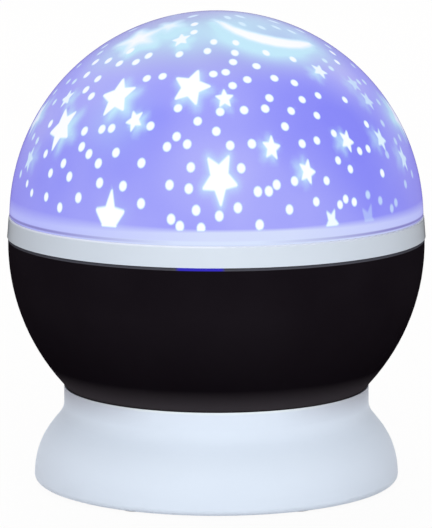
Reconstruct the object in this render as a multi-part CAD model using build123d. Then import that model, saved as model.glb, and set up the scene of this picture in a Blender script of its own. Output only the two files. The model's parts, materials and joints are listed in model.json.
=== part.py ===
from build123d import *
import math
import os

# A projection ball night light: a lit star dome over a dark bowl that turns in a flared base.
# Millimetres, +Z up. The origin is on the table under the middle of the base.
# The front faces -Y. The buttons and the power inlet are at the back, on +Y.

# Overall outline: the base grows with the drive that it holds, and the ball's shells follow the bowl
base_flare = 9.2
bowl_radius = 63.75
bowl_rise = 2.3
floor_inset = 5.3
collar_lip = 0.25
collar_height = 6.35
dome_inset = 0.7
dome_drop = 1.05
overrun = 1.0

# Base shell
base_wall = 2.0
bottom_round = 1.9
rim_land = 0.3
seat_gap = 0.3
shoulder_height_share = 0.37
waist_height_share = 0.74
shoulder_inset_share = 0.05
skirt_round_share = 0.85
waist_round_share = 0.4
deck_thickness = 2.2
plate_column_radius = 3.6
plate_column_sink = 0.7
plate_column_angles = (30, 150, 210, 330)

# Base plate and battery bay
plate_thickness = 1.8
plate_gap = 0.25
plate_cup_radius = 4.4
plate_cup_height = 5.8
plate_cup_roof = 1.6
bay_wall = 1.6
bay_roof = 1.2
bay_foot_lip = 1.4
bay_board_gap = 0.6
bay_motor_gap = 0.9

# Battery cells and contacts
cell_count = 4
cell_diameter = 10.5
cell_length = 44.5
cell_gap = 0.3
nub_radius = 1.9
nub_height = 1.0
contact_space = 5.6
contact_thickness = 0.4
contact_side = 7.5
contact_gap = 0.1
spring_width = 6.0
spring_edge = 0.9

# Battery door
door_thickness = 1.5
door_ledge = 1.8
door_gap = 0.25
door_tab = 6.4
barrel_radius = 1.7
barrel_gap = 0.3
pin_radius = 0.9
pin_length = 1.6
pin_gap = 0.05
door_boss_radius = 2.6
door_boss_height = 6.4
door_screw_gap = 0.35
grip_count = 4
grip_width = 1.0
grip_depth = 0.5
grip_pitch = 2.4
grip_length = 16.0

# Feet
foot_stand = 0.8
foot_sink = 0.8
foot_radius = 4.0
foot_margin = 1.6
foot_gap = 0.05
foot_round = 0.3
foot_angles = (60, 120, 240, 300)

# Screws: shank radius, shank length, head radius and head height of each kind
plate_screw_radius = 1.3
plate_screw_length = 9.0
plate_screw_head_radius = 2.6
plate_screw_head_height = 1.8
small_screw_radius = 0.9
small_screw_length = 5.0
small_screw_head_radius = 1.8
small_screw_head_height = 1.1
door_screw_radius = 1.1
door_screw_length = 5.4
door_screw_head_radius = 2.1
door_screw_head_height = 0.8
pilot_gap = 0.05
pilot_spare = 1.0
head_gap = 0.3
recess_length_share = 0.65
recess_width_share = 0.3
recess_depth_share = 0.55

# Control board
board_thickness = 1.6
board_depth = 11.0
board_margin = 1.2
board_post_height = 1.6
board_post_radius = 2.2
board_screw_length = 2.6
chip_width = 5.0
chip_depth = 4.0
chip_height = 1.5

# Push buttons and their switches
button_pitch = 11.0
button_radius = 3.6
button_stand = 1.3
button_edge = 0.5
button_gap = 0.25
button_travel = 0.8
flange_radius = 4.7
flange_thickness = 1.2
switch_width = 6.0
switch_depth = 3.6
switch_axis_height = 3.5
plunger_radius = 1.6
plunger_length = 0.8

# Power inlet
jack_offset = 22.0
jack_width = 8.0
jack_length = 9.0
jack_nose_radius = 3.2
jack_bore_radius = 1.75
jack_pin_radius = 0.65
jack_pin_inset = 1.5
jack_recess = 1.6
jack_gap = 0.25

# Drive: the motor's pinion turns the gear on the ball's hub
gear_module = 0.9
gear_teeth = 60
pinion_teeth = 12
pressure_angle = 20.0
addendum_share = 0.8
dedendum_share = 1.15
backlash = 0.16
flank_steps = 4
gear_thickness = 3.2
gear_gap = 0.6
motor_radius = 7.5
motor_foot_gap = 0.8
motor_nose_radius = 2.8
motor_nose_height = 1.2
motor_ear_width = 5.0
motor_ear_thickness = 1.6
motor_ear_reach = 4.6
motor_terminal_width = 6.0
motor_terminal_depth = 1.6
motor_terminal_height = 3.0
shaft_radius = 1.0
shaft_depth = 5.0
shaft_gap = 0.05

# Lamp column and its carrier plate
wire_space = 2.1
carrier_thickness = 1.6
carrier_boss_radius = 2.6
carrier_boss_gap = 0.9
carrier_boss_angles = (60, 180, 300)
column_radius = 6.0
column_bore_radius = 4.5
nose_gap = 0.3
lobe_gap = 0.4

# Ball hub and the slip ring under it
hub_wall = 5.4
hub_run_gap = 0.6
hub_rise = 6.0
hub_gap = 0.05
hub_screw_angles = (30, 150, 270)
washer_thickness = 0.6
washer_margin = 9.6
washer_width = 6.0
run_gap = 0.1

# Bowl, collar, film and cover
bowl_wall = 2.0
bowl_bevel = 0.8
collar_skirt_depth = 4.0
collar_gap = 0.3
collar_draft = 0.5
collar_round = 0.6
spigot_height = 4.45
spigot_gap = 0.35
film_air = 1.8
film_land = 1.8
film_thickness = 0.8
film_seat = 1.95
film_gap = 0.1
cover_wall = 1.3
cover_bevel = 0.4

# Lamp
led_drop = 12.0
led_board_radius = 9.0
led_board_thickness = 1.6
holder_radius = 9.6
holder_thickness = 2.0
holder_plug_depth = 6.0
holder_plug_gap = 0.1
holder_bore_radius = 2.4
led_radius = 2.5
led_body_height = 6.0
led_flange_radius = 2.9
led_flange_height = 1.0
led_circle_radius = 5.9
colour_led_count = 3

# Wires inside the base
lamp_wire_radius = 0.8
small_wire_radius = 0.55
lamp_wire_bend = 4.0
small_wire_bend = 2.5
small_wire_pitch = 1.6
wire_landing = 2.4
battery_wire_offset = 3.0
motor_wire_lead = 5.0
motor_wire_swing = 3.6
motor_wire_landing = 14.0

# Radii that follow from the driving sizes, from the drive outwards
gear_pitch_radius = gear_module * gear_teeth / 2
pinion_pitch_radius = gear_module * pinion_teeth / 2
gear_tip_radius = gear_pitch_radius + gear_module * addendum_share
motor_x = gear_pitch_radius + pinion_pitch_radius
lobe_radius = motor_radius + motor_ear_reach
neck_radius = motor_x + lobe_radius + lobe_gap + base_wall
base_radius = neck_radius + base_flare
plate_radius = base_radius - base_wall - plate_gap
plate_screw_circle = neck_radius - base_wall - plate_column_radius + plate_column_sink
foot_circle = plate_radius - foot_radius - foot_margin
carrier_boss_circle = gear_tip_radius + carrier_boss_gap + carrier_boss_radius
hub_bore_radius = column_radius + hub_run_gap
hub_radius = hub_bore_radius + hub_wall
gear_screw_circle = (hub_radius + hub_bore_radius) / 2
floor_radius = neck_radius - floor_inset
washer_outer_radius = floor_radius - washer_margin
washer_inner_radius = washer_outer_radius - washer_width
bowl_depth = math.sqrt(bowl_radius ** 2 - floor_radius ** 2)
collar_radius = bowl_radius + collar_lip
dome_radius = collar_radius - dome_inset
film_radius = dome_radius - cover_wall - film_air
collar_inner_radius = film_radius - film_land

# Heights, stacked from the table up
base_bottom = foot_stand
plate_top = base_bottom + plate_thickness
cell_axis_z = plate_top + cell_gap + cell_diameter / 2
bay_ceiling = plate_top + cell_diameter + 2 * cell_gap
bay_top = bay_ceiling + bay_roof
carrier_bottom = bay_top + wire_space
carrier_top = carrier_bottom + carrier_thickness
gear_bottom = carrier_top + gear_gap
gear_top = gear_bottom + gear_thickness
deck_bottom = gear_top + gear_gap
deck_top = deck_bottom + deck_thickness
bowl_floor = deck_top + washer_thickness + run_gap
bowl_centre = bowl_floor + bowl_depth
collar_bottom = bowl_centre + bowl_rise
collar_top = collar_bottom + collar_height
dome_centre = collar_top - dome_drop
spigot_top = collar_top + spigot_height
film_bottom = collar_top + film_seat
cup_top = base_bottom + plate_cup_height
board_bottom = plate_top + board_post_height
board_top = board_bottom + board_thickness
controls_z = board_top + switch_axis_height
led_board_top = dome_centre - led_drop
led_board_bottom = led_board_top - led_board_thickness
column_top = led_board_bottom - holder_thickness
rim_top = bowl_centre - math.sqrt((bowl_radius + seat_gap) ** 2 - (neck_radius - rim_land) ** 2)


def at(radius, height):
    """A point of a turned outline."""
    return Vector(radius, 0, height)


def lathe(*edges):
    """The solid that a closed outline sweeps in a full turn about the upright axis."""
    return revolve(make_face(edges), Axis.Z)


def post(radius, bottom, top, x=0, y=0):
    """An upright cylinder between two heights."""
    low = (Align.CENTER, Align.CENTER, Align.MIN)
    return Pos(x, y, bottom) * Cylinder(radius, top - bottom, align=low)


def tube(outer, inner, bottom, top, x=0, y=0):
    """An upright cylinder with a hole right through it."""
    return post(outer, bottom, top, x, y) - post(inner, bottom - overrun, top + overrun, x, y)


def rod(radius, start, end, x, z):
    """A cylinder along Y."""
    low = (Align.CENTER, Align.CENTER, Align.MIN)
    return Pos(x, start, z) * Rot(-90, 0, 0) * Cylinder(radius, end - start, align=low)


def crossbar(radius, start, end, y, z):
    """A cylinder along X."""
    low = (Align.CENTER, Align.CENTER, Align.MIN)
    return Pos(start, y, z) * Rot(0, 90, 0) * Cylinder(radius, end - start, align=low)


def block(x_span, y_span, z_span):
    """A box between two corners."""
    low = (Align.MIN, Align.MIN, Align.MIN)
    sides = [span[1] - span[0] for span in (x_span, y_span, z_span)]
    return Pos(x_span[0], y_span[0], z_span[0]) * Box(*sides, align=low)


def polar(radius, angle):
    """The X and Y of a place on a circle about the upright axis."""
    return radius * math.cos(math.radians(angle)), radius * math.sin(math.radians(angle))


def ball_radius(radius, centre, height):
    """How wide a sphere is at a height."""
    return math.sqrt(radius ** 2 - (height - centre) ** 2)


def ball_slice(radius, centre, bottom, top=None):
    """A sphere cut off flat at a height, and at a second one or whole up to its pole."""
    high = at(0, centre + radius) if top is None else at(ball_radius(radius, centre, top), top)
    middle = (bottom + high.Z) / 2
    low, mid = [at(ball_radius(radius, centre, z), z) for z in (bottom, middle)]
    edges = [Line(at(0, bottom), low), ThreePointArc(low, mid, high)]
    if top is not None:
        edges.append(Line(high, at(0, top)))
    edges.append(Line(at(0, high.Z), at(0, bottom)))
    return lathe(*edges)


def screw(radius, length, head_radius, head_height):
    """A cross-head screw that points up, with the underside of its head at zero."""
    slot_length = 2 * head_radius * recess_length_share
    slot_width = head_radius * recess_width_share
    slot_top = head_height * recess_depth_share - head_height
    body = post(radius, 0, length) + post(head_radius, -head_height, 0)
    for long_x, long_y in ((slot_length, slot_width), (slot_width, slot_length)):
        x_span = (-long_x / 2, long_x / 2)
        y_span = (-long_y / 2, long_y / 2)
        body -= block(x_span, y_span, (-head_height - overrun, slot_top))
    return body


def plate_screw():
    return screw(plate_screw_radius, plate_screw_length, plate_screw_head_radius, plate_screw_head_height)


def small_screw(length):
    return screw(small_screw_radius, length, small_screw_head_radius, small_screw_head_height)


def wire(points, radius, bend):
    """A wire along straight runs joined by round bends."""
    path = FilletPolyline(*points, radius=bend)
    return sweep(Plane(path @ 0, z_dir=path % 0) * Circle(radius), path)


# Base outline: bottom corner, shoulder, waist and rim, rounded at the shoulder and the waist

def skirt_corners(inset):
    height = rim_top - base_bottom
    shoulder_radius = base_radius - (base_radius - neck_radius) * shoulder_inset_share
    foot = at(base_radius - inset, base_bottom + bottom_round)
    shoulder = at(shoulder_radius - inset, base_bottom + height * shoulder_height_share)
    waist = at(neck_radius - inset, base_bottom + height * waist_height_share)
    return foot, shoulder, waist, at(neck_radius - inset, rim_top)


def corner_arc(before, corner, after, reach):
    """The round that starts and ends a given reach from a corner."""
    start = corner + (before - corner).normalized() * reach
    end = corner + (after - corner).normalized() * reach
    return TangentArc(start, end, tangent=corner - start)


def skirt_arc(inset):
    foot, shoulder, waist, rim = skirt_corners(inset)
    return corner_arc(foot, shoulder, waist, (shoulder - foot).length * skirt_round_share)


def skirt_radius(inset, height):
    """The radius of the base's wall at a height within its round skirt."""
    arc = skirt_arc(inset)
    centre = arc.arc_center
    return centre.X + math.sqrt(arc.radius ** 2 - (height - centre.Z) ** 2)


def base_form(inset, corner):
    """The solid base, drawn in by the inset, with a round corner at the table."""
    foot, shoulder, waist, rim = skirt_corners(inset)
    skirt = skirt_arc(inset)
    flare_run = (waist - skirt @ 1).length
    throat = corner_arc(shoulder, waist, rim, flare_run * waist_round_share)
    edges = [Line(at(0, base_bottom), at(foot.X - corner, base_bottom))]
    if corner > 0:
        edges.append(TangentArc(edges[-1] @ 1, foot, tangent=(1, 0, 0)))
    else:
        edges.append(Line(edges[-1] @ 1, foot))
    edges += [Line(foot, skirt @ 0), skirt, Line(skirt @ 1, throat @ 0), throat]
    edges += [Line(throat @ 1, rim), Line(rim, at(0, rim_top)), Line(at(0, rim_top), at(0, base_bottom))]
    return lathe(*edges)


# Places at the back of the base, worked forward from its wall

def chord(radius, offset):
    """How far back a round wall lies at a sideways offset."""
    return math.sqrt(radius ** 2 - offset ** 2)


button_places = (-button_pitch, 0, button_pitch)
button_names = ("light_button", "colour_button", "turn_button")
wall_outside = skirt_radius(0, controls_z)
flange_wall = skirt_radius(base_wall, controls_z + flange_radius)
flange_front = chord(flange_wall, button_pitch + flange_radius) - button_gap
flange_back = flange_front - flange_thickness
plunger_tip = flange_back - button_travel - button_gap
board_rear = plunger_tip - plunger_length
board_front = board_rear - board_depth
board_left = -button_pitch - switch_width / 2 - board_margin
board_right = jack_offset + jack_width / 2 + board_margin
jack_top = controls_z + switch_axis_height
jack_body_rear = chord(skirt_radius(base_wall, jack_top), jack_offset + jack_width / 2) - jack_gap
jack_nose_end = chord(wall_outside, jack_offset) - jack_recess
wire_landing_y = board_front + wire_landing

# Places of the battery bay: its right side clears the motor and its back end clears the board
bay_half_width = (cell_count * cell_diameter + (cell_count + 1) * cell_gap) / 2
bay_half_length = (cell_length + contact_space) / 2
door_half_width = bay_half_width + door_ledge
bay_foot_half_width = door_half_width + door_gap + pin_length + bay_foot_lip
bay_x = motor_x - motor_radius - bay_motor_gap - bay_wall - bay_half_width
bay_y = board_front - bay_board_gap - bay_foot_lip - door_gap - door_tab - bay_wall - bay_half_length
door_rear = bay_y + bay_half_length + bay_wall + door_tab
door_top = base_bottom + door_thickness
hinge_y = bay_y - bay_half_length - bay_wall - barrel_gap - barrel_radius
hinge_z = base_bottom + barrel_radius
hinge_pocket_radius = barrel_radius + barrel_gap
bay_foot_front = hinge_y - hinge_pocket_radius - bay_foot_lip
bay_foot_top = hinge_z + hinge_pocket_radius + bay_roof
door_screw_y = bay_y + bay_half_length + bay_wall + door_boss_radius
motor_bottom = bay_foot_top + motor_foot_gap


def cell_place(index):
    """The X of a cell and the way its positive end points."""
    pitch = cell_diameter + cell_gap
    return bay_x + (index - (cell_count - 1) / 2) * pitch, 1 if index % 2 == 0 else -1


def span(centre, half):
    return centre - half, centre + half


# Base body

def base_shell():
    shell = base_form(0, bottom_round)
    cavity = base_form(base_wall, 0)
    cavity &= post(base_radius, base_bottom, deck_bottom)
    shell -= cavity
    shell -= post(neck_radius - base_wall, deck_top, rim_top + overrun)
    shell -= ball_slice(bowl_radius + seat_gap, bowl_centre, deck_top, rim_top + overrun)
    for angle in plate_column_angles:
        x, y = polar(plate_screw_circle, angle)
        shell += post(plate_column_radius, cup_top, deck_bottom, x, y)
        pilot_end = cup_top - plate_cup_roof + plate_screw_length + pilot_spare
        shell -= post(plate_screw_radius + pilot_gap, cup_top - overrun, pilot_end, x, y)
    for angle in carrier_boss_angles:
        x, y = polar(carrier_boss_circle, angle)
        shell += post(carrier_boss_radius, carrier_top, deck_bottom, x, y)
        pilot_end = carrier_bottom + small_screw_length + pilot_spare
        shell -= post(small_screw_radius + pilot_gap, carrier_top - overrun, pilot_end, x, y)
    shell -= post(hub_radius + hub_gap, deck_bottom - overrun, deck_top + overrun)
    for place in button_places:
        shell -= rod(button_radius + button_gap, flange_front, base_radius + overrun, place, controls_z)
    jack_hole = jack_nose_radius + jack_gap
    return shell - rod(jack_hole, jack_body_rear, base_radius + overrun, jack_offset, controls_z)


def base_plate():
    plate = post(plate_radius, base_bottom, plate_top)
    foot_y = (bay_foot_front, door_rear + door_gap + bay_foot_lip)
    plate += block(span(bay_x, bay_foot_half_width), foot_y, (base_bottom, bay_foot_top))
    walls = (bay_half_width + bay_wall, bay_half_length + bay_wall)
    plate += block(span(bay_x, walls[0]), span(bay_y, walls[1]), (base_bottom, bay_top))
    plate += post(door_boss_radius, plate_top, plate_top + door_boss_height, bay_x, door_screw_y)
    for angle in plate_column_angles:
        x, y = polar(plate_screw_circle, angle)
        plate += post(plate_cup_radius, base_bottom, cup_top, x, y)
        head_seat = cup_top - plate_cup_roof
        plate -= post(plate_screw_head_radius + head_gap, base_bottom - overrun, head_seat, x, y)
        plate -= post(plate_screw_radius + pilot_gap, base_bottom, cup_top + overrun, x, y)
    for x, y in board_screw_places():
        plate += post(board_post_radius, base_bottom, board_bottom, x, y)
        pilot_start = board_top - board_screw_length - board_thickness
        plate -= post(small_screw_radius + pilot_gap, pilot_start, board_bottom + overrun, x, y)
    bay_z = (base_bottom - overrun, bay_ceiling)
    plate -= block(span(bay_x, bay_half_width), span(bay_y, bay_half_length), bay_z)
    opening_x = span(bay_x, door_half_width + door_gap)
    plate -= block(opening_x, (hinge_y, door_rear + door_gap), (base_bottom - overrun, plate_top))
    plate -= block(opening_x, span(hinge_y, hinge_pocket_radius), (base_bottom - overrun, hinge_z))
    plate -= crossbar(hinge_pocket_radius, *opening_x, hinge_y, hinge_z)
    pin_x = span(bay_x, door_half_width + door_gap + pin_length)
    plate -= crossbar(pin_radius + pin_gap, *pin_x, hinge_y, hinge_z)
    tip = base_bottom + door_screw_head_height + door_screw_length + pilot_spare
    plate -= post(door_screw_radius + door_screw_gap, base_bottom, tip, bay_x, door_screw_y)
    for angle in foot_angles:
        x, y = polar(foot_circle, angle)
        plate -= post(foot_radius + foot_gap, base_bottom - overrun, base_bottom + foot_sink, x, y)
    return plate


def plate_screws():
    seat = cup_top - plate_cup_roof
    return [Pos(*polar(plate_screw_circle, angle), seat) * plate_screw() for angle in plate_column_angles]


def rubber_feet():
    foot = post(foot_radius, 0, foot_stand + foot_sink)
    foot = fillet(foot.edges().filter_by(GeomType.CIRCLE).sort_by(Axis.Z)[0], foot_round)
    return [Pos(*polar(foot_circle, angle), 0) * foot for angle in foot_angles]


def battery_door():
    door_x = span(bay_x, door_half_width)
    door = block(door_x, (hinge_y, door_rear), (base_bottom, door_top))
    door += crossbar(barrel_radius, *door_x, hinge_y, hinge_z)
    door += crossbar(pin_radius, *span(bay_x, door_half_width + pin_length), hinge_y, hinge_z)
    shank_radius = door_screw_radius + pilot_gap
    door -= post(shank_radius, base_bottom - overrun, door_top + overrun, bay_x, door_screw_y)
    head_seat = base_bottom + door_screw_head_height
    door -= post(door_screw_head_radius + head_gap, base_bottom - overrun, head_seat, bay_x, door_screw_y)
    for index in range(grip_count):
        groove_y = span(door_screw_y - (index + 2) * grip_pitch, grip_width / 2)
        groove_z = (base_bottom - overrun, base_bottom + grip_depth)
        door -= block(span(bay_x, grip_length / 2), groove_y, groove_z)
    return door


def door_screw():
    head = (door_screw_head_radius, door_screw_head_height)
    seat = base_bottom + door_screw_head_height
    return Pos(bay_x, door_screw_y, seat) * screw(door_screw_radius, door_screw_length, *head)


def battery_cells():
    cells = []
    for index in range(cell_count):
        x, way = cell_place(index)
        tip = bay_half_length - contact_thickness - contact_gap
        case = rod(cell_diameter / 2, tip - cell_length, tip - nub_height, 0, 0)
        nub = rod(nub_radius, tip - nub_height, tip, 0, 0)
        cells.append(Pos(x, bay_y, cell_axis_z) * Rot(0, 0, 0 if way > 0 else 180) * (case + nub))
    return cells


def battery_contacts():
    plates = []
    for index in range(cell_count):
        x, way = cell_place(index)
        wall = bay_y + way * bay_half_length
        y_span = sorted((wall, wall - way * contact_thickness))
        plates.append(block(span(x, contact_side / 2), y_span, span(cell_axis_z, contact_side / 2)))
    return plates


def battery_springs():
    """Bowed leaf springs that press on each cell's flat end."""
    bow = 2 * bay_half_length - contact_thickness - 2 * contact_gap - cell_length
    half = contact_side / 2
    inner_half = half - spring_edge
    outer = ThreePointArc((0, 0, half), (0, bow, 0), (0, 0, -half))
    inner = ThreePointArc((0, 0, inner_half), (0, bow - contact_thickness, 0), (0, 0, -inner_half))
    ends = [Line(outer @ 0, inner @ 0), Line(outer @ 1, inner @ 1)]
    leaf = extrude(make_face([outer, inner, *ends]), spring_width / 2, dir=(1, 0, 0), both=True)
    springs = []
    for index in range(cell_count):
        x, way = cell_place(index)
        turn = Rot(0, 0, 0 if way > 0 else 180)
        springs.append(Pos(x, bay_y - way * bay_half_length, cell_axis_z) * turn * leaf)
    return springs


# Control board, buttons and inlet

def board_screw_places():
    between = (button_pitch + switch_width / 2 + jack_offset - jack_width / 2) / 2
    front = (board_left + board_post_radius, board_front + board_post_radius)
    return front, (between, board_rear - board_post_radius)


def control_board():
    board = block((board_left, board_right), (board_front, board_rear), (board_bottom, board_top))
    for x, y in board_screw_places():
        board -= post(small_screw_radius + pilot_gap, board_bottom - overrun, board_top + overrun, x, y)
    return board


def control_chip():
    chip_x = span((board_left + 2 * board_post_radius - battery_wire_offset) / 2, chip_width / 2)
    chip_y = (board_front + board_margin, board_front + board_margin + chip_depth)
    return block(chip_x, chip_y, (board_top, board_top + chip_height))


def board_screws():
    flip = Rot(180, 0, 0)
    return [Pos(x, y, board_top) * flip * small_screw(board_screw_length) for x, y in board_screw_places()]


def tact_switches():
    switches = []
    for place in button_places:
        case_z = (board_top, controls_z + switch_axis_height)
        case = block(span(place, switch_width / 2), (board_rear - switch_depth, board_rear), case_z)
        switches.append(case + rod(plunger_radius, board_rear, plunger_tip, place, controls_z))
    return switches


def push_button(place):
    end = chord(wall_outside, place) + button_stand
    cap = rod(button_radius, flange_front, end, place, controls_z)
    cap = fillet(cap.edges().filter_by(GeomType.CIRCLE).sort_by(Axis.Y)[-1], button_edge)
    return cap + rod(flange_radius, flange_back, flange_front, place, controls_z)


def power_jack():
    body_y = (jack_body_rear - jack_length, jack_body_rear)
    jack = block(span(jack_offset, jack_width / 2), body_y, (board_top, jack_top))
    jack += rod(jack_nose_radius, jack_body_rear, jack_nose_end, jack_offset, controls_z)
    bore_start = jack_body_rear - jack_length + base_wall
    return jack - rod(jack_bore_radius, bore_start, jack_nose_end + overrun, jack_offset, controls_z)


def jack_pin():
    start = jack_body_rear - jack_length + base_wall
    return rod(jack_pin_radius, start, jack_nose_end - jack_pin_inset, jack_offset, controls_z)


# Lamp column, motor and lamp

def lamp_column():
    carrier_radius = carrier_boss_circle + carrier_boss_radius
    column = post(carrier_radius, carrier_bottom, carrier_top)
    column += post(lobe_radius, carrier_bottom, carrier_top, motor_x)
    column += post(column_radius, carrier_bottom, column_top)
    through = (carrier_bottom - overrun, carrier_top + overrun)
    column -= post(column_bore_radius, carrier_bottom - overrun, column_top + overrun)
    column -= post(motor_nose_radius + nose_gap, *through, motor_x)
    boss_places = [polar(carrier_boss_circle, angle) for angle in carrier_boss_angles]
    for x, y in (*boss_places, *motor_screw_places()):
        column -= post(small_screw_radius + pilot_gap, *through, x, y)
    return column


def column_screws():
    screws = []
    for angle in carrier_boss_angles:
        place = Pos(*polar(carrier_boss_circle, angle), carrier_bottom)
        screws.append(place * small_screw(small_screw_length))
    return screws


def motor_screw_places():
    reach = motor_radius + motor_ear_reach / 2
    return (motor_x, -reach), (motor_x, reach)


def gear_motor():
    motor = post(motor_radius, motor_bottom, carrier_bottom, motor_x)
    ear_y = motor_radius + motor_ear_reach
    ear_z = (carrier_bottom - motor_ear_thickness, carrier_bottom)
    motor += block(span(motor_x, motor_ear_width / 2), (-ear_y, ear_y), ear_z)
    motor += post(motor_nose_radius, carrier_bottom, carrier_bottom + motor_nose_height, motor_x)
    terminal_z = (ear_z[0] - motor_terminal_height, ear_z[0])
    terminal_y = (0, motor_radius + motor_terminal_depth)
    motor += block(span(motor_x, motor_terminal_width / 2), terminal_y, terminal_z)
    motor -= post(shaft_radius + shaft_gap, carrier_bottom - shaft_depth, carrier_top + overrun, motor_x)
    for x, y in motor_screw_places():
        motor -= post(small_screw_radius + pilot_gap, ear_z[0] - overrun, carrier_bottom + overrun, x, y)
    return motor


def motor_screws():
    flip = Rot(180, 0, 0)
    length = carrier_thickness + motor_ear_thickness
    return [Pos(x, y, carrier_top) * flip * small_screw(length) for x, y in motor_screw_places()]


def motor_shaft():
    return post(shaft_radius, carrier_bottom - shaft_depth + shaft_gap, gear_top, motor_x)


def gear_outline(teeth, turn):
    """An involute gear's outline, with its first tooth at a given turn in radians."""
    pitch_radius = gear_module * teeth / 2
    slope = math.radians(pressure_angle)
    base_circle = pitch_radius * math.cos(slope)
    root = pitch_radius - gear_module * dedendum_share
    tip = pitch_radius + gear_module * addendum_share
    half_tooth = math.pi / (2 * teeth) - backlash / (4 * pitch_radius)
    low = max(root, base_circle)
    flank = []
    for step in range(flank_steps + 1):
        radius = low + (tip - low) * step / flank_steps
        lean = math.acos(base_circle / radius)
        flank.append((radius, half_tooth + math.tan(slope) - slope - math.tan(lean) + lean))
    if root < low:
        flank.insert(0, (root, flank[0][1]))
    points = []
    for tooth in range(teeth):
        middle = turn + 2 * math.pi * tooth / teeth
        sides = [(radius, middle - half) for radius, half in flank]
        sides += [(radius, middle + half) for radius, half in reversed(flank)]
        points += [(radius * math.cos(angle), radius * math.sin(angle)) for radius, angle in sides]
    return make_face(Polyline(*points, close=True))


def output_gear():
    gear = Pos(0, 0, gear_bottom) * extrude(gear_outline(gear_teeth, 0), gear_thickness)
    gear -= post(hub_bore_radius, gear_bottom - overrun, gear_top + overrun)
    head_top = gear_bottom + small_screw_head_height + head_gap
    for angle in hub_screw_angles:
        x, y = polar(gear_screw_circle, angle)
        gear -= post(small_screw_head_radius + head_gap, gear_bottom - overrun, head_top, x, y)
        gear -= post(small_screw_radius + pilot_gap, gear_bottom, gear_top + overrun, x, y)
    return gear


def gear_screws():
    seat = gear_bottom + small_screw_head_height + head_gap
    screws = []
    for angle in hub_screw_angles:
        screws.append(Pos(*polar(gear_screw_circle, angle), seat) * small_screw(small_screw_length))
    return screws


def drive_pinion():
    mesh_turn = math.pi + math.pi / pinion_teeth
    pinion = extrude(gear_outline(pinion_teeth, mesh_turn), gear_thickness)
    pinion = Pos(motor_x, 0, gear_bottom) * pinion
    return pinion - post(shaft_radius, gear_bottom - overrun, gear_top + overrun, motor_x)


def thrust_washer():
    return tube(washer_outer_radius, washer_inner_radius, deck_top, deck_top + washer_thickness)


def led_holder():
    plug_bottom = column_top - holder_plug_depth
    holder = post(holder_radius, column_top, led_board_bottom)
    holder += post(column_bore_radius - holder_plug_gap, plug_bottom, column_top)
    return holder - post(holder_bore_radius, plug_bottom - overrun, led_board_bottom + overrun)


def led_board():
    return post(led_board_radius, led_board_bottom, led_board_top)


def led(x, y):
    bottom = led_board_top
    shoulder = bottom + led_body_height
    body = post(led_flange_radius, bottom, bottom + led_flange_height, x, y)
    body += post(led_radius, bottom, shoulder, x, y)
    return body + Pos(x, y, shoulder) * Sphere(led_radius)


def colour_leds():
    turn = 360 / colour_led_count
    return [led(*polar(led_circle_radius, turn * index)) for index in range(colour_led_count)]


# Ball body

def bowl():
    shell = ball_slice(bowl_radius, bowl_centre, bowl_floor, collar_bottom)
    rim = shell.edges().filter_by(GeomType.CIRCLE).group_by(Axis.Z)[-1]
    shell = chamfer(rim, bowl_bevel)
    shell -= ball_slice(bowl_radius - bowl_wall, bowl_centre, bowl_floor + bowl_wall, collar_bottom)
    hub_top = bowl_floor + bowl_wall + hub_rise
    shell += post(hub_radius, gear_top, hub_top)
    shell -= post(hub_bore_radius, gear_top - overrun, hub_top + overrun)
    pilot_end = gear_bottom + small_screw_head_height + head_gap + small_screw_length + pilot_spare
    for angle in hub_screw_angles:
        x, y = polar(gear_screw_circle, angle)
        shell -= post(small_screw_radius + pilot_gap, gear_top - overrun, pilot_end, x, y)
    return shell


def collar_ring():
    skirt_bottom = collar_bottom - collar_skirt_depth
    bowl_inside = bowl_radius - bowl_wall
    skirt_ends = [ball_radius(bowl_inside, bowl_centre, z) for z in (skirt_bottom, collar_bottom)]
    skirt_radius_outside = min(skirt_ends) - collar_gap
    spigot_radius = ball_radius(dome_radius - cover_wall, dome_centre, spigot_top) - spigot_gap
    rebate = film_radius + film_gap
    foot, head = at(collar_radius, collar_bottom), at(collar_radius - collar_draft, collar_top)
    outline = Polyline(at(0, collar_bottom), foot, head, at(0, collar_top), close=True)
    band = lathe(*outline.edges())
    band = fillet(band.edges().filter_by(GeomType.CIRCLE).sort_by(Axis.Z)[-1], collar_round)
    collar = band + post(skirt_radius_outside, skirt_bottom, collar_bottom)
    collar += post(spigot_radius, collar_top, spigot_top)
    collar -= post(collar_inner_radius, skirt_bottom - overrun, spigot_top + overrun)
    return collar - post(rebate, film_bottom, spigot_top + overrun)


def star_film():
    film = ball_slice(film_radius, dome_centre, film_bottom)
    return film - ball_slice(film_radius - film_thickness, dome_centre, film_bottom)


def cover_dome():
    cover = ball_slice(dome_radius, dome_centre, collar_top)
    cover = chamfer(cover.edges().filter_by(GeomType.CIRCLE).group_by(Axis.Z)[0], cover_bevel)
    return cover - ball_slice(dome_radius - cover_wall, dome_centre, collar_top)


# Wires

def lamp_wires():
    run_z = (bay_top + carrier_bottom) / 2
    start = Vector(0, 0, led_board_bottom)
    points = [start, (0, 0, run_z), (0, wire_landing_y, run_z), (0, wire_landing_y, board_top)]
    return wire(points, lamp_wire_radius, lamp_wire_bend)


def motor_wires():
    start_y = motor_radius + motor_terminal_depth
    z = carrier_bottom - motor_ear_thickness - motor_terminal_height / 2
    bend_y = bay_y + bay_half_length
    wires = []
    for side in (-1, 1):
        shift = side * small_wire_pitch / 2
        start = (motor_x + shift, start_y, z)
        clear = (motor_x + shift, start_y + motor_wire_lead, z)
        turn = (motor_x - motor_wire_swing + shift, bend_y, z)
        over = (motor_wire_landing + shift, wire_landing_y + shift, z)
        landing = (*over[:2], board_top)
        wires.append(wire([start, clear, turn, over, landing], small_wire_radius, small_wire_bend))
    return wires


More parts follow.
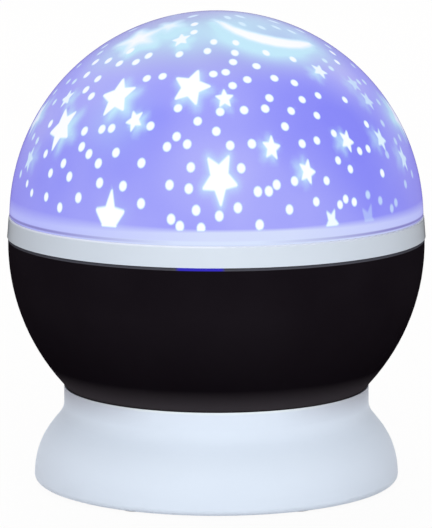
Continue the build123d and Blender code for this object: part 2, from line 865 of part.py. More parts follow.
def battery_wires():
    start_y = bay_y + bay_half_length + bay_wall
    z = bay_ceiling - bay_wall
    wires = []
    for side in (-1, 1):
        x = side * battery_wire_offset
        points = [(x, start_y, z), (x, wire_landing_y, z), (x, wire_landing_y, board_top)]
        wires.append(wire(points, small_wire_radius, small_wire_bend))
    return wires


PARTS = {
    "base_shell": base_shell,
    "base_plate": base_plate,
    "plate_screws": plate_screws,
    "rubber_feet": rubber_feet,
    "battery_door": battery_door,
    "door_screw": door_screw,
    "battery_cells": battery_cells,
    "battery_contacts": battery_contacts,
    "battery_springs": battery_springs,
    "control_board": control_board,
    "control_chip": control_chip,
    "board_screws": board_screws,
    "tact_switches": tact_switches,
    "power_jack": power_jack,
    "jack_pin": jack_pin,
    "lamp_column": lamp_column,
    "column_screws": column_screws,
    "gear_motor": gear_motor,
    "motor_screws": motor_screws,
    "motor_shaft": motor_shaft,
    "drive_pinion": drive_pinion,
    "output_gear": output_gear,
    "gear_screws": gear_screws,
    "thrust_washer": thrust_washer,
    "led_holder": led_holder,
    "led_board": led_board,
    "white_led": lambda: led(0, 0),
    "colour_leds": colour_leds,
    "bowl": bowl,
    "collar_ring": collar_ring,
    "star_film": star_film,
    "cover_dome": cover_dome,
    "lamp_wires": lamp_wires,
    "motor_wires": motor_wires,
    "battery_wires": battery_wires,
}
for button_name, button_place in zip(button_names, button_places):
    PARTS[button_name] = lambda place=button_place: push_button(place)

os.makedirs("parts", exist_ok=True)
for name, make in PARTS.items():
    piece = make()
    solids = piece if isinstance(piece, list) else [piece]
    export_step(Compound(children=[s for item in solids for s in item.solids()]), f"parts/{name}.step")
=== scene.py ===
import json
import math

import bpy
import numpy as np
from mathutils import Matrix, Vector
from mathutils.geometry import delaunay_2d_cdt


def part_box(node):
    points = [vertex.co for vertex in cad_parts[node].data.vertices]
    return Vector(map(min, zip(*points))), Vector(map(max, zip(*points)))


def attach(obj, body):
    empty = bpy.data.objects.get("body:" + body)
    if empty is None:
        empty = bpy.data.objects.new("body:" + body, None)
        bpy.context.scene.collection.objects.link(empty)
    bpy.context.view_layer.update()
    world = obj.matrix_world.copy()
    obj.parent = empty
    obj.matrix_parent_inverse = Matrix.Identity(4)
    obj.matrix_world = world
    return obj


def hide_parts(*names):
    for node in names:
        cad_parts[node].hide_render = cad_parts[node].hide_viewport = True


# A projection ball night light: a lit dome with stars over a dark bowl that turns in a white base.
# Metres, +Z up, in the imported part's own frame. The front faces -Y.

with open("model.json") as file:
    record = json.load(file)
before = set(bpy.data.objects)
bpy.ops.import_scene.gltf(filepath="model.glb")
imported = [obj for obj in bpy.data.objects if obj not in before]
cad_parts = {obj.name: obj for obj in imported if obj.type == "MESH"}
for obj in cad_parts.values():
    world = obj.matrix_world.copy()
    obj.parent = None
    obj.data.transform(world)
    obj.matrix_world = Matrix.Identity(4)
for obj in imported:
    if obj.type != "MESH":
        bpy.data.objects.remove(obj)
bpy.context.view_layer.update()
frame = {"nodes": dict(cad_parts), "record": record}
nodes = frame["nodes"]

# The photograph's view
PHOTO_WIDTH = 432
PHOTO_HEIGHT = 528
FOCAL_PIXELS = 3902.8
CAMERA_PLACE = Vector((-0.00012, -1.1815, 0.2593))
CAMERA_PITCH = 0.161
SENSOR = 36.0


def shell_of(node):
    """The height of the centre and the radius of a domed node's outer face."""
    points = np.array([v.co for v in nodes[node].data.vertices])
    widths = np.hypot(points[:, 0], points[:, 1])
    widest = points[widths.argmax()]
    drop = points[:, 2].max() - widest[2]
    radius = (widths.max() ** 2 + drop ** 2) / (2 * drop)
    return points[:, 2].max() - radius, radius


# Heights and radii that the frame gives, and the walls of the two domes
DOME_CENTRE, DOME_RADIUS = shell_of("cover_dome")
FILM_CENTRE, FILM_RADIUS = shell_of("star_film")
DOME_TOP = DOME_CENTRE + DOME_RADIUS
COLLAR_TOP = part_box("cover_dome")[0].z
FILM_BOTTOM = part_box("star_film")[0].z
SPIGOT_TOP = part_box("collar_ring")[1].z
BOWL_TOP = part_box("bowl")[1].z
BOWL_BEVEL = 0.0008
BASE_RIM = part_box("base_shell")[1].z
COVER_WALL = 0.0013
COVER_BEVEL = 0.0004
FILM_WALL = 0.0008

# The star pattern: places are pixels of the photograph, sizes are metres on the dome
DOT_RADIUS = 0.00122
DOT_LIGHT = 0.95
DOT_SIDE_PIXELS = (22, 50, 80, 265, 335)
DOT_SIDE_SHARES = (0.66, 0.88, 1, 1, 0.80)
DOT_TOP_PIXELS = (45, 66)
DOT_TOP_SHARES = (0.88, 1)
DOT_TOP_DRAWN_SHARES = (1.45, 1)
FAINT_RADIUS = 0.001
FAINT_LIGHT = 0.5
FAINT_TOP_PIXELS = (14, 36, 60)
FAINT_TOP_DRAWN_SHARES = (2.2, 1.5, 1)
FAINT_SIDE_PIXELS = (340, 395)
FAINT_SIDE_SHARES = (1, 0.7)
DOT_STRETCH_SHARE = 0.28
STAR_STRETCH_SHARE = 0.62
VALLEY_SHARE = 0.42
TIP_ROUND_SHARE = 0.06
DOT_PIXELS = (
    (130.4, 51), (135.9, 62), (119.4, 63.4), (108.4, 60.6), (95.5, 62), (86.8, 74.7), (97.8, 78.8),
    (146.8, 78.4), (148.6, 55.6), (179.4, 54.2), (207.4, 51), (213.8, 41.8), (235.8, 42.7),
    (234.9, 52.8), (233.1, 62), (225.7, 72.2), (213.3, 74), (162.6, 76.3), (266.1, 52.8), (256.5, 66.1),
    (247.3, 79.6), (274.4, 78.2), (293, 59.2), (194, 32.1), (194.5, 24.2), (85.9, 89.7), (91.4, 96.2),
    (84.5, 131.1), (101.9, 129.2), (111.6, 128.3), (81.7, 146.8), (115.9, 152.6), (50.5, 123.7),
    (178, 108.1), (232.6, 85.6), (269.4, 98), (265.2, 108.6), (244.1, 110.1), (220.2, 111.8),
    (197.7, 121.2), (216.3, 131.3), (150.4, 126), (176.6, 136.6), (187.2, 144.2), (167, 146.8),
    (230.2, 145.5), (251.9, 143.8), (285, 126.5), (294.4, 82.9), (318.1, 95.5), (302.2, 99.6),
    (291.2, 110.9), (316.9, 115.5), (344.9, 99.8), (366.5, 124.2), (333.9, 133.4), (316.9, 140.5),
    (302.2, 143.7), (359.7, 151), (368.1, 148.8), (88.9, 154), (98.3, 163.4), (63.4, 163.4),
    (50.5, 173.1), (69.3, 176.6), (45.6, 153.8), (99.6, 182.9), (122.9, 186.1), (141.4, 163),
    (141, 203.6), (78.3, 197.7), (46.2, 196.9), (59.7, 207.5), (31.7, 192.8), (27.1, 183.6),
    (190.8, 167.3), (169.5, 185), (188.8, 188.7), (196.1, 210.3), (171.1, 219.2), (179.8, 226.3),
    (201.1, 228.3), (219.3, 216), (237.9, 207.8), (241.2, 168.2), (257.9, 191.6), (268.9, 191.2),
    (276.7, 184.8), (259.7, 224.9), (289.5, 209.5), (338.1, 160.4), (350.4, 169.1), (382.3, 173.2),
    (294.6, 181.1), (326.6, 180.7), (316.3, 201.7), (340.1, 204.7), (345.7, 199.1), (354.3, 202),
    (337.1, 62), (332.6, 52.8),
)
FAINT_DOT_PIXELS = (
    (100.1, 52.8), (104.7, 46.4), (133, 29.8), (79, 65.7), (68.4, 81.5), (74.4, 81.5), (55.1, 92),
    (54.6, 102.1), (37.2, 140.7), (33.5, 136.6), (20.7, 174), (193.1, 16.1), (227.6, 17.4), (240, 16.5),
    (242.3, 24), (261.6, 27.4), (276.2, 27.4), (273.5, 21.6), (291.7, 31.7), (300, 30.8), (328, 46.4),
    (324.7, 60.6), (331.2, 68.4), (353.2, 65.7), (382.6, 123.3), (378.5, 102.1), (364.2, 81.9),
    (358.7, 81.9), (395.5, 141.2), (399.6, 137.5), (367.9, 194.8), (380.3, 200.6), (395.9, 202.6),
    (391.8, 208.4), (405.5, 184.1), (412, 174), (387.2, 154.7),
)
# Each star: pixel, tip radius, turn of its first tip from up towards the right in degrees, light
STARS = (
    ((117.4, 96.8), 0.0060, -16, 1.0), ((191.2, 87.0), 0.0061, 13, 1.0), ((219.6, 178.5), 0.0057, 32, 1.0),
    ((61.5, 127.8), 0.0056, -35, 1.0), ((134.5, 120.4), 0.0029, -32, 1.0), ((224.5, 98.6), 0.0029, -2, 1.0),
    ((271.6, 147.8), 0.0029, 9, 1.0), ((307.4, 171.8), 0.0028, 20, 1.0), ((347, 140.8), 0.0027, 30, 0.95),
    ((319.6, 70.9), 0.0028, 44, 0.8), ((67, 98.4), 0.0027, -30, 0.8), ((353.7, 83.8), 0.0027, 10, 0.4),
    ((367.9, 100.3), 0.0027, 40, 0.45), ((380.8, 139.3), 0.0028, 30, 0.6),
    ((403.3, 158.4), 0.0029, 20, 0.5), ((29.4, 159.3), 0.0029, 10, 0.5),
)
# Stars that the film's lower edge or the top draws out: the same, and how far they are drawn out
DRAWN_STARS = (
    ((109.2, 219.6), 0.0054, 0, 1.0, 1.09), ((332, 221.8), 0.0026, 31, 0.8, 1.05),
    ((369, 222), 0.0036, 28, 0.2, 1.05), ((181.2, 39.6), 0.0029, -27, 0.9, 1.4),
)
# Stars that are out of focus near the top and the sides: the same, and how soft they are
SOFT_STARS = (
    ((138.5, 39), 0.0080, 20, 0.95, 8.0), ((169.7, 26), 0.0052, 0, 0.75, 6.0),
    ((37.5, 117), 0.0048, 20, 0.8, 3.0), ((396.5, 117), 0.0060, 50, 0.85, 4.0),
)
# The crescent: its lower edge from left to right, and its upper edge back again
CRESCENT_LOWER = (
    (213, 19.5), (224, 28), (234, 33.8), (248, 39.6), (262, 43.8), (276, 46.9), (290, 48.6), (302, 48.8),
)
CRESCENT_UPPER = (
    (310, 47.4), (313, 45.2), (309, 42.4), (302, 41), (290, 39.8), (276, 37.6), (262, 34.6), (248, 31.2),
    (234, 26.8), (224, 22),
)
CRESCENT_BLUR = 4.2
# The film's lit windows show again in the cover: softer, drawn in towards this pixel by a share of the way,
# softer still about large stars, and not near the foot
HALO_PIXEL = (216, 175)
HALO_SHIFT_SHARE = 0.06
HALO_SIZES = (0.0029, 0.0056)
HALO_SOFTS = (0.0036, 0.0048)
HALO_RISE_SHARES = (0.1, 0.3)
# Wider soft light under the crescent and about the blurred stars: pixel, reach in metres, weight
GLOW_SPOTS = (
    ((232, 38), 0.0056, 0.7), ((252, 46), 0.0056, 0.8), ((273, 51), 0.0052, 0.8), ((296, 53), 0.0054, 0.8),
    ((316, 50), 0.0060, 0.55), ((144, 42), 0.0085, 0.7), ((174, 32), 0.0070, 0.6), ((215, 28), 0.0095, 0.5),
    ((258, 24), 0.0130, 0.6), ((300, 36), 0.0060, 0.3), ((188, 44), 0.0070, 0.4), ((108, 56), 0.0080, 0.25),
    ((391, 116), 0.0060, 0.5), ((116, 120), 0.0090, 0.25),
)
# Deeper and paler fields of the glow: pixel, reach in metres, weight
TONE_SPOTS = (
    ((335, 115), 0.020, -1.0), ((164, 118), 0.012, -0.4), ((385, 195), 0.018, -0.35),
    ((48, 190), 0.018, -0.5), ((248, 128), 0.016, -0.25), ((120, 62), 0.016, 0.5),
    ((245, 185), 0.014, 0.45), ((215, 38), 0.018, 0.2), ((325, 66), 0.013, 0.9),
    ((150, 170), 0.014, -0.1), ((205, 150), 0.012, 0.3), ((355, 86), 0.009, 0.5),
    ((402, 150), 0.014, 0.5), ((28, 145), 0.012, 0.4),
)
# The unseen rest of the pattern is scattered with a fixed seed
SCATTER_SEED = 41
SCATTER_STARS = 34
SCATTER_DOTS = 170
SCATTER_TRIES = 40
STAR_SIZES = (0.0029, 0.0029, 0.0056)
STAR_TIPS = 5
ROOM_SHARE = 1.5
DOT_ROOM = 0.0026
SEEN_SHARE = 0.10
SEEN_FADE_SHARES = (-0.05, 0.02)
EDGE_LIGHT = 0.3

# The mesh of the lit shells
COVER_SOFT = 0.00056
FILM_SOFT = 0.00012
GRID_STEP = 0.0013
RIM_COUNT = 320
RIM_CLEAR_SHARE = 0.25
INNER_RINGS = 36
STAR_RAYS = 60
DOT_RAYS = 14
MARK_REACH_SHARE = 2
OUTLINE_REACH_SHARE = 1.5
OUTLINE_STEPS = 24
NET_TOLERANCE = 1e-7
RIM_TOLERANCE = 1e-5
SHARP_DEGREES = 30


def pixel_way(x, y):
    """The direction from the dome's centre to where the camera sees a pixel of the photograph on it."""
    right = (x - PHOTO_WIDTH / 2) / FOCAL_PIXELS
    up = (PHOTO_HEIGHT / 2 - y) / FOCAL_PIXELS
    ahead, down = math.cos(CAMERA_PITCH), math.sin(CAMERA_PITCH)
    ray = Vector((right, ahead + up * down, up * ahead - down)).normalized()
    start = CAMERA_PLACE - Vector((0, 0, DOME_CENTRE))
    along = start.dot(ray)
    inside = along ** 2 - start.length_squared + DOME_RADIUS ** 2
    return np.array((start - ray * (along + math.sqrt(max(inside, 0)))).normalized())


def unit(vectors):
    return vectors / np.linalg.norm(vectors, axis=-1, keepdims=True)


def distances(ways, way):
    """How far directions lie from one direction, in metres on the dome."""
    return np.linalg.norm(ways - way, axis=1) * DOME_RADIUS


def edge_share(depth, soft):
    """How far places lie across a soft edge, from none outside it to all inside it."""
    return np.clip(0.5 + depth / soft, 0, 1)


class Mark:
    """One lit shape of the pattern. Places on it are across and up, in metres in its own plane."""

    def __init__(self, way, size, light=1.0, turn=0.0, drawn=1.0, blur=1.0):
        self.way, self.size, self.light, self.blur = way, size, light, blur
        self.turn = math.radians(turn)
        self.east = unit(np.cross((0, 0, 1), way))
        self.north = np.cross(way, self.east)
        self.stretch = drawn * (1 + self.stretch_share * math.hypot(way[0], way[1]) ** 3)
        self.reach = MARK_REACH_SHARE * size * self.stretch

    def flat(self, ways):
        offset = (ways - self.way) * DOME_RADIUS
        return offset @ self.east, offset @ self.north / self.stretch

    def raised(self, across, up):
        offset = np.outer(across, self.east) + np.outer(up * self.stretch, self.north)
        return unit(self.way + offset / DOME_RADIUS)

    def outline(self, level):
        """The line on the shape where its depth has a given value, found along rays from its middle."""
        angles = np.linspace(0, 2 * math.pi, self.rays, endpoint=False) + self.turn
        near, far = np.zeros(self.rays), np.full(self.rays, OUTLINE_REACH_SHARE * self.size)
        for _ in range(OUTLINE_STEPS):
            middle = (near + far) / 2
            within = self.depth(middle * np.sin(angles), middle * np.cos(angles)) > level
            near, far = np.where(within, middle, near), np.where(within, far, middle)
        return self.raised(near * np.sin(angles), near * np.cos(angles))


class Dot(Mark):
    rays = DOT_RAYS
    stretch_share = DOT_STRETCH_SHARE

    def depth(self, across, up):
        return self.size - np.hypot(across, up)


class Star(Mark):
    rays = STAR_RAYS
    stretch_share = STAR_STRETCH_SHARE

    def depth(self, across, up):
        """How far inside the star's edge a place lies, with its tips rounded."""
        rounding = self.size * TIP_ROUND_SHARE
        sector = math.pi / STAR_TIPS
        angle = np.arctan2(across, up) - self.turn
        angle = np.abs((angle + sector) % (2 * sector) - sector)
        far = np.hypot(across, up)
        place = np.stack([far * np.cos(angle), far * np.sin(angle)], -1)
        tip = np.array([self.size - 2 * rounding, 0])
        valley = self.size * VALLEY_SHARE * np.array([math.cos(sector), math.sin(sector)])
        edge = valley - tip
        along = np.clip((place - tip) @ edge / (edge @ edge), 0, 1)
        distance = np.linalg.norm(place - tip - along[..., None] * edge, axis=-1)
        side = edge[0] * (place - tip)[..., 1] - edge[1] * (place - tip)[..., 0]
        return np.where(side > 0, distance, -distance) + rounding


class Crescent(Mark):
    """A moon between two bowed edges, given by pixels of the photograph."""
    stretch_share = 0

    def __init__(self):
        ways = np.array([pixel_way(*p) for p in CRESCENT_LOWER + CRESCENT_UPPER])
        way = unit(ways.mean(0))
        super().__init__(way, np.linalg.norm(ways - way, axis=1).max() * DOME_RADIUS, blur=CRESCENT_BLUR)
        self.corners = np.stack(self.flat(ways), -1)

    def depth(self, across, up):
        """How far inside the moon's edge a place lies."""
        place = np.stack([across, up], -1)[:, None]
        start, end = self.corners, np.roll(self.corners, -1, 0)
        edge = end - start
        along = np.clip(((place - start) * edge).sum(-1) / (edge ** 2).sum(-1), 0, 1)
        distance = np.linalg.norm(place - start - along[..., None] * edge, axis=-1).min(1)
        above = (start[:, 1] > place[..., 1]) != (end[:, 1] > place[..., 1])
        run = np.where(edge[:, 1] == 0, 1, edge[:, 1])
        crossing = start[:, 0] + (place[..., 1] - start[:, 1]) / run * edge[:, 0]
        inside = (above & (place[..., 0] < crossing)).sum(1) % 2 == 1
        return np.where(inside, distance, -distance)

    def outline(self, level):
        """The edge moved out or in along its own normal."""
        run = unit(np.roll(self.corners, -1, 0) - np.roll(self.corners, 1, 0))
        area = np.cross(self.corners, np.roll(self.corners, -1, 0)).sum()
        outward = np.stack([run[:, 1], -run[:, 0]], -1) * math.copysign(1, area)
        moved = self.corners - outward * level
        return self.raised(moved[:, 0], moved[:, 1])


def scattered(given):
    """Stars and dots for the unseen part of the dome, faint where it begins to come into view."""
    draw = np.random.RandomState(SCATTER_SEED)
    seen_from = unit(np.array(CAMERA_PLACE) - (0, 0, DOME_CENTRE))
    lowest = (SPIGOT_TOP - DOME_CENTRE) / DOME_RADIUS
    taken = [(mark.way, mark.size * ROOM_SHARE) for mark in given]
    marks = []
    for is_star, count in ((True, SCATTER_STARS), (False, SCATTER_DOTS)):
        missing = count
        for _ in range(count * SCATTER_TRIES):
            turn, height = draw.uniform(0, 2 * math.pi), draw.uniform(lowest, 1)
            size, spin = STAR_SIZES[draw.randint(len(STAR_SIZES))], draw.uniform(0, 360 / STAR_TIPS)
            width = math.sqrt(1 - height ** 2)
            way = np.array([width * math.cos(turn), width * math.sin(turn), height])
            toward = way @ seen_from
            if toward > SEEN_SHARE or missing == 0:
                continue
            light = np.interp(toward, SEEN_FADE_SHARES, (1, EDGE_LIGHT))
            room = size * ROOM_SHARE if is_star else DOT_ROOM
            if any(np.linalg.norm(way - other) * DOME_RADIUS < room + apart for other, apart in taken):
                continue
            taken.append((way, room))
            marks.append(Star(way, size, light, spin) if is_star else Dot(way, DOT_RADIUS, light))
            missing -= 1
    return marks


def dot_at(x, y):
    """A dot at a pixel of the photograph: smaller at the sides, narrower and drawn out near the top."""
    side_share = np.interp(x, DOT_SIDE_PIXELS, DOT_SIDE_SHARES)
    top_share = np.interp(y, DOT_TOP_PIXELS, DOT_TOP_SHARES)
    drawn = np.interp(y, DOT_TOP_PIXELS, DOT_TOP_DRAWN_SHARES)
    return Dot(pixel_way(x, y), DOT_RADIUS * side_share * top_share, DOT_LIGHT, drawn=drawn)


def faint_dot_at(x, y):
    """A faint dot at a pixel of the photograph: drawn out near the top, fainter towards the right."""
    light = FAINT_LIGHT * np.interp(x, FAINT_SIDE_PIXELS, FAINT_SIDE_SHARES)
    drawn = np.interp(y, FAINT_TOP_PIXELS, FAINT_TOP_DRAWN_SHARES)
    return Dot(pixel_way(x, y), FAINT_RADIUS, light, drawn=drawn)


def make_marks():
    marks = [dot_at(*pixel) for pixel in DOT_PIXELS]
    marks += [faint_dot_at(*pixel) for pixel in FAINT_DOT_PIXELS]
    for pixel, size, turn, light in STARS:
        marks.append(Star(pixel_way(*pixel), size, light, turn))
    for pixel, size, turn, light, drawn in DRAWN_STARS:
        marks.append(Star(pixel_way(*pixel), size, light, turn, drawn=drawn))
    for pixel, size, turn, light, blur in SOFT_STARS:
        marks.append(Star(pixel_way(*pixel), size, light, turn, blur=blur))
    marks.append(Crescent())
    return marks + scattered(marks)


MARKS = make_marks()


def spot_sum(ways, spots):
    """The sum of soft round fields on the dome: pixel, reach and weight of each."""
    total = np.zeros(len(ways))
    for pixel, reach, weight in spots:
        total += weight * np.exp(-((distances(ways, pixel_way(*pixel)) / reach) ** 2))
    return total


def halo_light(ways):
    """The second, softer image of each star and of the crescent, and the wider soft light."""
    centre = pixel_way(*HALO_PIXEL)
    light = np.zeros(len(ways))
    for mark in MARKS:
        if isinstance(mark, Dot):
            continue
        shift = (centre - mark.way) * HALO_SHIFT_SHARE
        soft = np.interp(mark.size, HALO_SIZES, HALO_SOFTS)
        near = np.flatnonzero(distances(ways, mark.way) < mark.reach + soft)
        share = edge_share(mark.depth(*mark.flat(ways[near] - shift)), soft)
        weight = mark.light * np.interp(mark.way[2], HALO_RISE_SHARES, (0, 1))
        light[near] = np.maximum(light[near], weight * share ** 2 * (3 - 2 * share))
    return np.clip(light + spot_sum(ways, GLOW_SPOTS), 0, 1)


def pattern_light(ways, soft):
    """How brightly the pattern shines in each direction."""
    light = np.zeros(len(ways))
    for mark in MARKS:
        near = np.flatnonzero(distances(ways, mark.way) < mark.reach)
        share = edge_share(mark.depth(*mark.flat(ways[near])), soft * mark.blur)
        light[near] = np.maximum(light[near], mark.light * share)
    return light


def to_map(ways):
    """Directions as places on a flat map about the pole."""
    lean = np.arccos(np.clip(ways[:, 2], -1, 1))
    turn = np.arctan2(ways[:, 1], ways[:, 0])
    return np.stack([lean * np.cos(turn), lean * np.sin(turn)], -1)


def from_map(places):
    lean = np.hypot(*places.T)
    turn = np.arctan2(places[:, 1], places[:, 0])
    return np.stack([np.sin(lean) * np.cos(turn), np.sin(lean) * np.sin(turn), np.cos(lean)], -1)


def ring(lean, count):
    turn = np.linspace(0, 2 * math.pi, count, endpoint=False)
    return lean * np.stack([np.cos(turn), np.sin(turn)], -1)


def mapped_shell(rim_lean, soft, cut_lean):
    """The flat map of a lit dome: a fine net with the edges of every mark drawn into it."""
    points, lines = [ring(rim_lean, RIM_COUNT)], []
    ring_count = round(rim_lean * DOME_RADIUS / GRID_STEP)
    for index in range(ring_count):
        lean = rim_lean * index / ring_count
        points.append(ring(lean, max(1, round(2 * math.pi * math.sin(lean) * DOME_RADIUS / GRID_STEP))))
    levels = (-soft / 2, soft / 2)
    loops = [to_map(mark.outline(level * mark.blur)) for mark in MARKS for level in levels]
    if cut_lean:
        loops += [ring(cut_lean + level / DOME_RADIUS, RIM_COUNT) for level in levels]
    furthest = rim_lean - RIM_CLEAR_SHARE * GRID_STEP / DOME_RADIUS
    start = sum(len(p) for p in points)
    for loop in loops:
        kept = np.flatnonzero(np.hypot(*loop.T) < furthest)
        places_of = {old: start + new for new, old in enumerate(kept)}
        ends = [(i, (i + 1) % len(loop)) for i in kept]
        lines += [(places_of[a], places_of[b]) for a, b in ends if b in places_of]
        points.append(loop[kept])
        start += len(kept)
    places = [Vector(p) for p in np.concatenate(points)]
    found, _, faces, *_ = delaunay_2d_cdt(places, lines, [], 0, NET_TOLERANCE)
    return np.array(found), faces


def add_object(name, points, faces):
    mesh = bpy.data.meshes.new(name)
    mesh.from_pydata([tuple(p) for p in points], [], faces)
    mesh.validate()
    mesh.shade_smooth()
    piece = bpy.data.objects.new(name, mesh)
    bpy.context.scene.collection.objects.link(piece)
    return piece


def inner_circles(centre, radius, inner, bottom, bevel):
    """The circles from the foot's bevel up the inner face: width and height of each."""
    circles = []
    if bevel:
        circles.append((math.sqrt(radius ** 2 - (bottom + bevel - centre) ** 2) - bevel, bottom))
    foot_lean = math.acos((bottom - centre) / inner)
    for index in range(INNER_RINGS):
        lean = foot_lean * (1 - index / INNER_RINGS)
        circles.append((inner * math.sin(lean), centre + inner * math.cos(lean)))
    return circles


def closed_shell(points, faces, rim, turns, circles, top):
    """The outer face closed by circles that follow its rim, and by a point under its top."""
    faces = [tuple(face) for face in faces]
    last, total, count = list(rim), len(points), len(rim)
    for width, height in circles:
        circle = np.stack([width * np.cos(turns), width * np.sin(turns), np.full(count, height)], -1)
        points = np.concatenate([points, circle])
        now = list(range(total, total + count))
        total += count
        for i in range(count):
            j = (i + 1) % count
            faces.append((last[i], now[i], now[j], last[j]))
        last = now
    points = np.concatenate([points, [(0, 0, top)]])
    faces += [(last[i], total, last[(i + 1) % count]) for i in range(count)]
    return points, faces


def store_values(piece, values):
    """Values at the points of the outer face, which come first, and none at the others."""
    for key, value in values.items():
        attribute = piece.data.attributes.new(key, "FLOAT", "POINT")
        full = np.zeros(len(piece.data.vertices), np.float32)
        full[:len(value)] = value
        attribute.data.foreach_set("value", full)


def lit_shell(name, centre, radius, wall, bottom, bevel, soft, cut_height):
    """A closed dome with the pattern in the net of its outer face and as values at its points."""
    rim_lean = math.acos((bottom + bevel - centre) / radius)
    cut_lean = math.acos((cut_height - centre) / radius) if cut_height else 0
    places, faces = mapped_shell(rim_lean, soft, cut_lean)
    ways = from_map(places)
    leans = np.hypot(*places.T)
    turns = np.arctan2(places[:, 1], places[:, 0])
    rim = np.flatnonzero(leans > rim_lean - RIM_TOLERANCE)
    rim = rim[np.argsort(turns[rim] % (2 * math.pi))]
    inner = radius - wall
    circles = inner_circles(centre, radius, inner, bottom, bevel)
    outer = ways * radius + (0, 0, centre)
    piece = add_object(name, *closed_shell(outer, faces, rim, turns[rim], circles, centre + inner))
    piece.data.set_sharp_from_angle(angle=math.radians(SHARP_DEGREES))
    above = edge_share((cut_lean - leans) * DOME_RADIUS, soft) if cut_lean else 1
    store_values(piece, {
        "light": pattern_light(ways, soft) * above,
        "glow": halo_light(ways),
        "tone": spot_sum(ways, TONE_SPOTS),
    })
    return piece


# Materials: the parts of the noise's span that clouds and grain use, and depths in metres
NOISE_MIDDLE = 0.5
CLOUD_SCALE = 28.0
CLOUD_SPAN = (0.35, 0.65)
GRAIN_SPAN = (0.3, 0.7)
FINE_DETAIL = 2.0
STREAK_DETAIL = 4.0
STREAK_SCALE = 600.0
STREAK_STRENGTH = 0.1
PLASTIC_DEPTH = 0.0002
FINE_DEPTH = 0.0001
COAT_ROUGH = 0.08
SKIN_ROUGH = 0.3


def new_material(name):
    material = bpy.data.materials.new(name)
    material.use_nodes = True
    return material, material.node_tree, material.node_tree.nodes["Principled BSDF"]


def put(tree, kind, values=None, **settings):
    """A node with its settings, and with its inputs set to numbers or joined to other nodes' outputs."""
    node = tree.nodes.new(kind)
    for key, value in settings.items():
        setattr(node, key, value)
    for key, value in (values or {}).items():
        if isinstance(value, bpy.types.NodeSocket):
            tree.links.new(value, node.inputs[key])
        else:
            node.inputs[key].default_value = value
    return node


def object_place(tree):
    return put(tree, "ShaderNodeTexCoord").outputs["Object"]


def place_of(tree, axis):
    return put(tree, "ShaderNodeSeparateXYZ", {"Vector": object_place(tree)}).outputs[axis]


def value_of(tree, name):
    return put(tree, "ShaderNodeAttribute", attribute_name=name).outputs["Fac"]


def noise(tree, scale, detail=3.0, place=None):
    inputs = {"Vector": place or object_place(tree), "Scale": scale, "Detail": detail}
    return put(tree, "ShaderNodeTexNoise", inputs).outputs["Fac"]


def spread(tree, value, low, high, start=0.0, end=1.0):
    """A value from start to end mapped to the span from low to high, and held at its ends."""
    inputs = {"Value": value, "From Min": start, "From Max": end, "To Min": low, "To Max": high}
    return put(tree, "ShaderNodeMapRange", inputs, clamp=True).outputs["Result"]


def mixed(tree, share, first, second):
    node = put(tree, "ShaderNodeMix", data_type="RGBA")
    for key, value in (("Factor_Float", share), ("A_Color", first), ("B_Color", second)):
        socket = next(s for s in node.inputs if s.identifier == key)
        if isinstance(value, bpy.types.NodeSocket):
            tree.links.new(value, socket)
        else:
            socket.default_value = value if isinstance(value, (int, float)) else (*value, 1)
    return next(s for s in node.outputs if s.identifier == "Result_Color")


def math_node(tree, operation, first, second):
    node = put(tree, "ShaderNodeMath", operation=operation)
    for socket, value in zip(node.inputs, (first, second)):
        if isinstance(value, bpy.types.NodeSocket):
            tree.links.new(value, socket)
        else:
            socket.default_value = value
    return node.outputs[0]


def distance_from(tree, value, middle):
    return math_node(tree, "ABSOLUTE", math_node(tree, "SUBTRACT", value, middle), 0)


def roughen(tree, shader, height, strength, distance):
    bump = put(tree, "ShaderNodeBump", {"Height": height, "Strength": strength, "Distance": distance})
    tree.links.new(bump.outputs["Normal"], shader.inputs["Normal"])


def shine(tree, shader, colour):
    """Light of its own, in a colour that other nodes give."""
    tree.links.new(colour, shader.inputs["Emission Color"])
    shader.inputs["Emission Strength"].default_value = 1.0


def tinted_skin(shader, tint):
    """A clear skin without gloss that takes up a little light, and more where the light passes aslant."""
    shader.inputs["Coat Weight"].default_value = 1.0
    shader.inputs["Coat IOR"].default_value = 1.0
    shader.inputs["Coat Roughness"].default_value = SKIN_ROUGH
    shader.inputs["Coat Tint"].default_value = tint


def moulded(name, colour, shade, rough, grain_scale, grain, specular=0.5, coat=0.0):
    """Moulded plastic: two close tones in soft clouds, and a fine grain in its gloss and relief."""
    material, tree, shader = new_material(name)
    clouds = spread(tree, noise(tree, CLOUD_SCALE), 0, 1, *CLOUD_SPAN)
    tree.links.new(mixed(tree, clouds, colour, shade), shader.inputs["Base Color"])
    fine = noise(tree, grain_scale, FINE_DETAIL)
    tree.links.new(spread(tree, fine, *rough, *GRAIN_SPAN), shader.inputs["Roughness"])
    shader.inputs["Specular IOR Level"].default_value = specular
    shader.inputs["Coat Weight"].default_value = coat
    shader.inputs["Coat Roughness"].default_value = COAT_ROUGH
    roughen(tree, shader, fine, grain, PLASTIC_DEPTH)
    return material


def opened(material):
    """A moulded material's node tree, its shader and the colour that feeds it, for more to be added."""
    tree = material.node_tree
    shader = tree.nodes["Principled BSDF"]
    return tree, shader, shader.inputs["Base Color"].links[0].from_socket


def metal(name, colour, shade, rough, stretch=(1.0, 1.0, 1.0)):
    """Worked metal: streaks or speckle in its tone and gloss."""
    material, tree, shader = new_material(name)
    mapping = put(tree, "ShaderNodeMapping", {"Vector": object_place(tree), "Scale": stretch})
    grain = noise(tree, STREAK_SCALE, STREAK_DETAIL, mapping.outputs["Vector"])
    tone = mixed(tree, spread(tree, grain, 0, 1, *GRAIN_SPAN), colour, shade)
    tree.links.new(tone, shader.inputs["Base Color"])
    tree.links.new(spread(tree, grain, *rough, *GRAIN_SPAN), shader.inputs["Roughness"])
    shader.inputs["Metallic"].default_value = 1.0
    roughen(tree, shader, grain, STREAK_STRENGTH, FINE_DEPTH)
    return material


